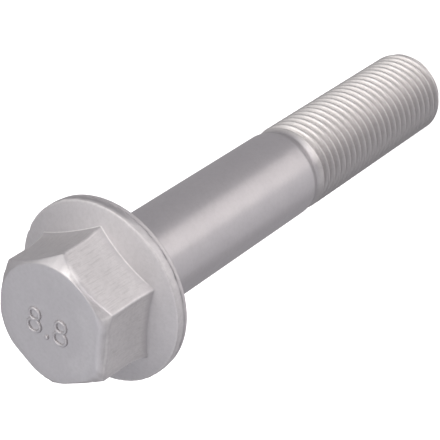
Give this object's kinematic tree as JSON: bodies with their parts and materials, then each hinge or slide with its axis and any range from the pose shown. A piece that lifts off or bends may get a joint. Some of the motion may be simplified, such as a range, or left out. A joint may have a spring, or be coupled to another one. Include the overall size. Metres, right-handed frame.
{
  "type": "hexagon flange bolt",
  "caption": "Hexagon head bolt with a conical flange, plain full shank and rolled fine thread, in silver-grey coated steel, for clamping parts without a washer.",
  "frame": {"origin": "centre of the bearing face under the flange, on the bolt's axis", "axes": "+Z along the bolt's axis towards the top of the head; the shank runs along -Z to the tail, on which the bolt stands; two corners of the hexagon lie on X"},
  "size_m": [0.0274, 0.0274, 0.0922],
  "materials": {
    "coated_steel": "dull silver zinc flake coating"
  },
  "bodies": {
    "root": {"bolt": "coated_steel"}
  },
  "joints": []
}
